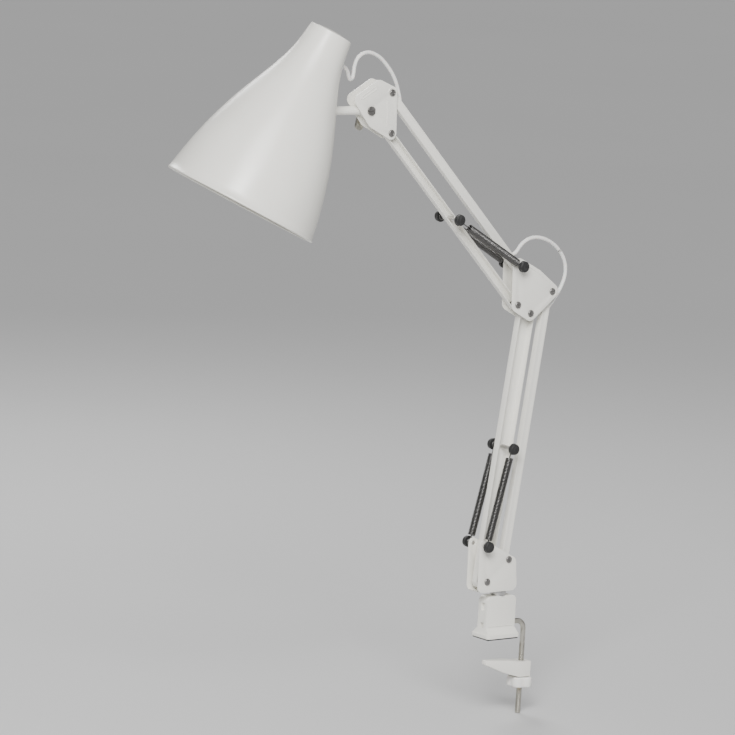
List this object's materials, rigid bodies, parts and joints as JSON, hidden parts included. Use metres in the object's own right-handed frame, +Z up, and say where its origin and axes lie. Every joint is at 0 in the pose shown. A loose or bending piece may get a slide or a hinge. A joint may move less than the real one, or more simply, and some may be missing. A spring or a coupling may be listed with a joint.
{
  "type": "swing arm desk lamp",
  "caption": "Clamp-on desk lamp with two spring-balanced parallel-bar arms, a levelled head bracket and a tilting pear-shaped shade for a screw-base bulb.",
  "frame": {"origin": "centre of the clamp pad's underside, which rests on the desk", "axes": "+Z up; the arms lie in the XZ plane with the shade towards -X; the clamp's mouth faces -X"},
  "size_m": [0.5391, 0.1752, 0.8014],
  "materials": {
    "white_paint": "satin gloss",
    "white_plastic": "satin",
    "white_cord": "soft satin",
    "black_rubber": "matte",
    "spring_steel": "dark",
    "dark_steel": "dark satin",
    "zinc_steel": "satin",
    "plated_steel": "dull plated",
    "brass": "satin",
    "ceramic": "glazed"
  },
  "bodies": {
    "clamp": {"clamp_bracket": "white_paint", "flange_pad": "black_rubber", "swivel_bush": "zinc_steel", "thrust_washer": "zinc_steel", "hook_bolt": "plated_steel"},
    "jaw": {"clamp_jaw": "white_paint"},
    "clamp_nut": {"clamp_nut": "white_plastic", "nut_insert": "brass"},
    "base": {"base_bracket": "white_paint", "swivel_pin": "zinc_steel", "base_pivot_screws": "dark_steel", "base_pivot_nuts": "dark_steel", "base_spacers": "zinc_steel", "base_spring_posts": "zinc_steel", "base_spring_caps": "black_rubber"},
    "lower_cord_bar": {"lower_cord_bar": "white_paint", "lower_bar_cord": "white_cord", "cord_outlet": "white_plastic"},
    "lower_wide_bar": {"lower_wide_bar": "white_paint", "lower_peg": "zinc_steel", "lower_peg_caps": "black_rubber"},
    "elbow": {"elbow_plate_front": "white_paint", "elbow_plate_rear": "white_paint", "elbow_pivot_screws": "dark_steel", "elbow_pivot_nuts": "dark_steel", "elbow_long_pin": "zinc_steel", "elbow_spring_caps": "black_rubber", "elbow_spacers": "zinc_steel", "elbow_cord": "white_cord"},
    "upper_cord_bar": {"upper_cord_bar": "white_paint", "upper_bar_cord": "white_cord"},
    "upper_plain_bar": {"upper_plain_bar": "white_paint", "upper_peg": "zinc_steel", "upper_peg_caps": "black_rubber"},
    "lower_springs": {"lower_springs": "spring_steel"},
    "lower_spring_hooks": {"lower_spring_hooks": "spring_steel"},
    "upper_springs": {"upper_springs": "spring_steel"},
    "upper_spring_hooks": {"upper_spring_hooks": "spring_steel"},
    "head": {"head_plate_front": "white_paint", "head_plate_rear": "white_paint", "head_pivot_screws": "dark_steel", "head_pivot_nuts": "dark_steel", "head_spacers": "zinc_steel", "tilt_bolt": "dark_steel", "tilt_washers": "zinc_steel", "head_cord": "white_cord"},
    "wing_nut": {"wing_nut": "plated_steel"},
    "knuckle": {"knuckle": "white_paint"},
    "shade": {"shade": "white_paint", "neck_cap": "white_paint", "shade_foot": "white_paint", "shade_foot_screws": "dark_steel", "cord_grommet": "white_plastic", "lampholder_cap": "white_plastic", "lampholder_shell": "white_plastic", "lampholder_thread": "brass", "lampholder_contact": "brass", "lampholder_core": "ceramic", "lampholder_ring": "white_plastic", "lampholder_nipple": "zinc_steel"}
  },
  "joints": [
    {"name": "jaw_travel", "type": "slide", "parent": "clamp", "child": "jaw", "axis": [0, 0, 1], "range_m": [-0.0265, 0.0205]},
    {"name": "nut_turn", "type": "hinge", "parent": "jaw", "child": "clamp_nut", "pos_m": [0.041, 0, -0.05], "axis": [0, 0, 1], "range_deg": [-9360, 7200]},
    {"name": "base_swivel", "type": "hinge", "parent": "clamp", "child": "base", "pos_m": [0, 0, 0.05], "axis": [0, 0, 1], "range_deg": [-170, 170]},
    {"name": "lower_arm_swing", "type": "hinge", "parent": "base", "child": "lower_cord_bar", "pos_m": [0.004, 0, 0.0925], "axis": [0, 1, 0], "range_deg": [-60, 14]},
    {"name": "lower_wide_bar_swing", "type": "hinge", "parent": "base", "child": "lower_wide_bar", "pos_m": [-0.026, 0, 0.0685], "axis": [0, 1, 0], "range_deg": [-61, 15]},
    {"name": "elbow_level", "type": "hinge", "parent": "lower_cord_bar", "child": "elbow", "pos_m": [0.04339, 0, 0.39999], "axis": [0, 1, 0], "range_deg": [-15, 61], "deforming": ["elbow_cord"]},
    {"name": "upper_arm_swing", "type": "hinge", "parent": "elbow", "child": "upper_cord_bar", "pos_m": [-0.00811, 0, 0.43149], "axis": [0, 1, 0], "range_deg": [-52, 18]},
    {"name": "upper_plain_bar_swing", "type": "hinge", "parent": "elbow", "child": "upper_plain_bar", "pos_m": [-0.00611, 0, 0.38649], "axis": [0, 1, 0], "range_deg": [-53, 19]},
    {"name": "head_level", "type": "hinge", "parent": "upper_cord_bar", "child": "head", "pos_m": [-0.20471, 0, 0.63086], "axis": [0, 1, 0], "range_deg": [-19, 53], "deforming": ["head_cord"]},
    {"name": "head_tilt", "type": "hinge", "parent": "head", "child": "knuckle", "pos_m": [-0.23321, 0, 0.61135], "axis": [0, 1, 0], "range_deg": [-40, 60]},
    {"name": "shade_swivel", "type": "hinge", "parent": "knuckle", "child": "shade", "pos_m": [-0.23321, 0, 0.61135], "axis": [1, 0, 0], "range_deg": [-80, 80]},
    {"name": "wing_nut_turn", "type": "hinge", "parent": "head", "child": "wing_nut", "pos_m": [-0.23321, 0, 0.61135], "axis": [0, 1, 0], "continuous": true},
    {"name": "lower_springs_turn", "type": "hinge", "parent": "base", "child": "lower_springs", "pos_m": [-0.034, 0, 0.111], "axis": [0, 1, 0], "range_deg": [-81.4, 19.8], "deforming": ["lower_springs"]},
    {"name": "lower_hooks_turn", "type": "hinge", "parent": "lower_wide_bar", "child": "lower_spring_hooks", "pos_m": [-0.0063, 0, 0.22224], "axis": [0, 1, 0], "range_deg": [-21.4, 5.8], "deforming": ["lower_spring_hooks"]},
    {"name": "upper_springs_turn", "type": "hinge", "parent": "elbow", "child": "upper_springs", "pos_m": [-0.00811, 0, 0.43149], "axis": [0, 1, 0], "range_deg": [-57.2, 20.4], "deforming": ["upper_springs"]},
    {"name": "upper_hooks_turn", "type": "hinge", "parent": "upper_plain_bar", "child": "upper_spring_hooks", "pos_m": [-0.10582, 0, 0.4876], "axis": [0, 1, 0], "range_deg": [-5.2, 2.4], "deforming": ["upper_spring_hooks"]}
  ],
  "couplings": [
    {"joint": "jaw_travel", "follows": "nut_turn", "m_per_rad": 0.00015915},
    {"joint": "lower_springs_turn", "follows": "lower_arm_swing", "ratio": 1.34},
    {"joint": "lower_hooks_turn", "follows": "lower_arm_swing", "ratio": 0.34},
    {"joint": "upper_springs_turn", "follows": "upper_arm_swing", "ratio": 1.08},
    {"joint": "upper_hooks_turn", "follows": "upper_arm_swing", "ratio": 0.08},
    {"joint": "lower_wide_bar_swing", "follows": "lower_arm_swing", "ratio": 1},
    {"joint": "elbow_level", "follows": "lower_arm_swing", "ratio": -1},
    {"joint": "upper_plain_bar_swing", "follows": "upper_arm_swing", "ratio": 1},
    {"joint": "head_level", "follows": "upper_arm_swing", "ratio": -1}
  ]
}
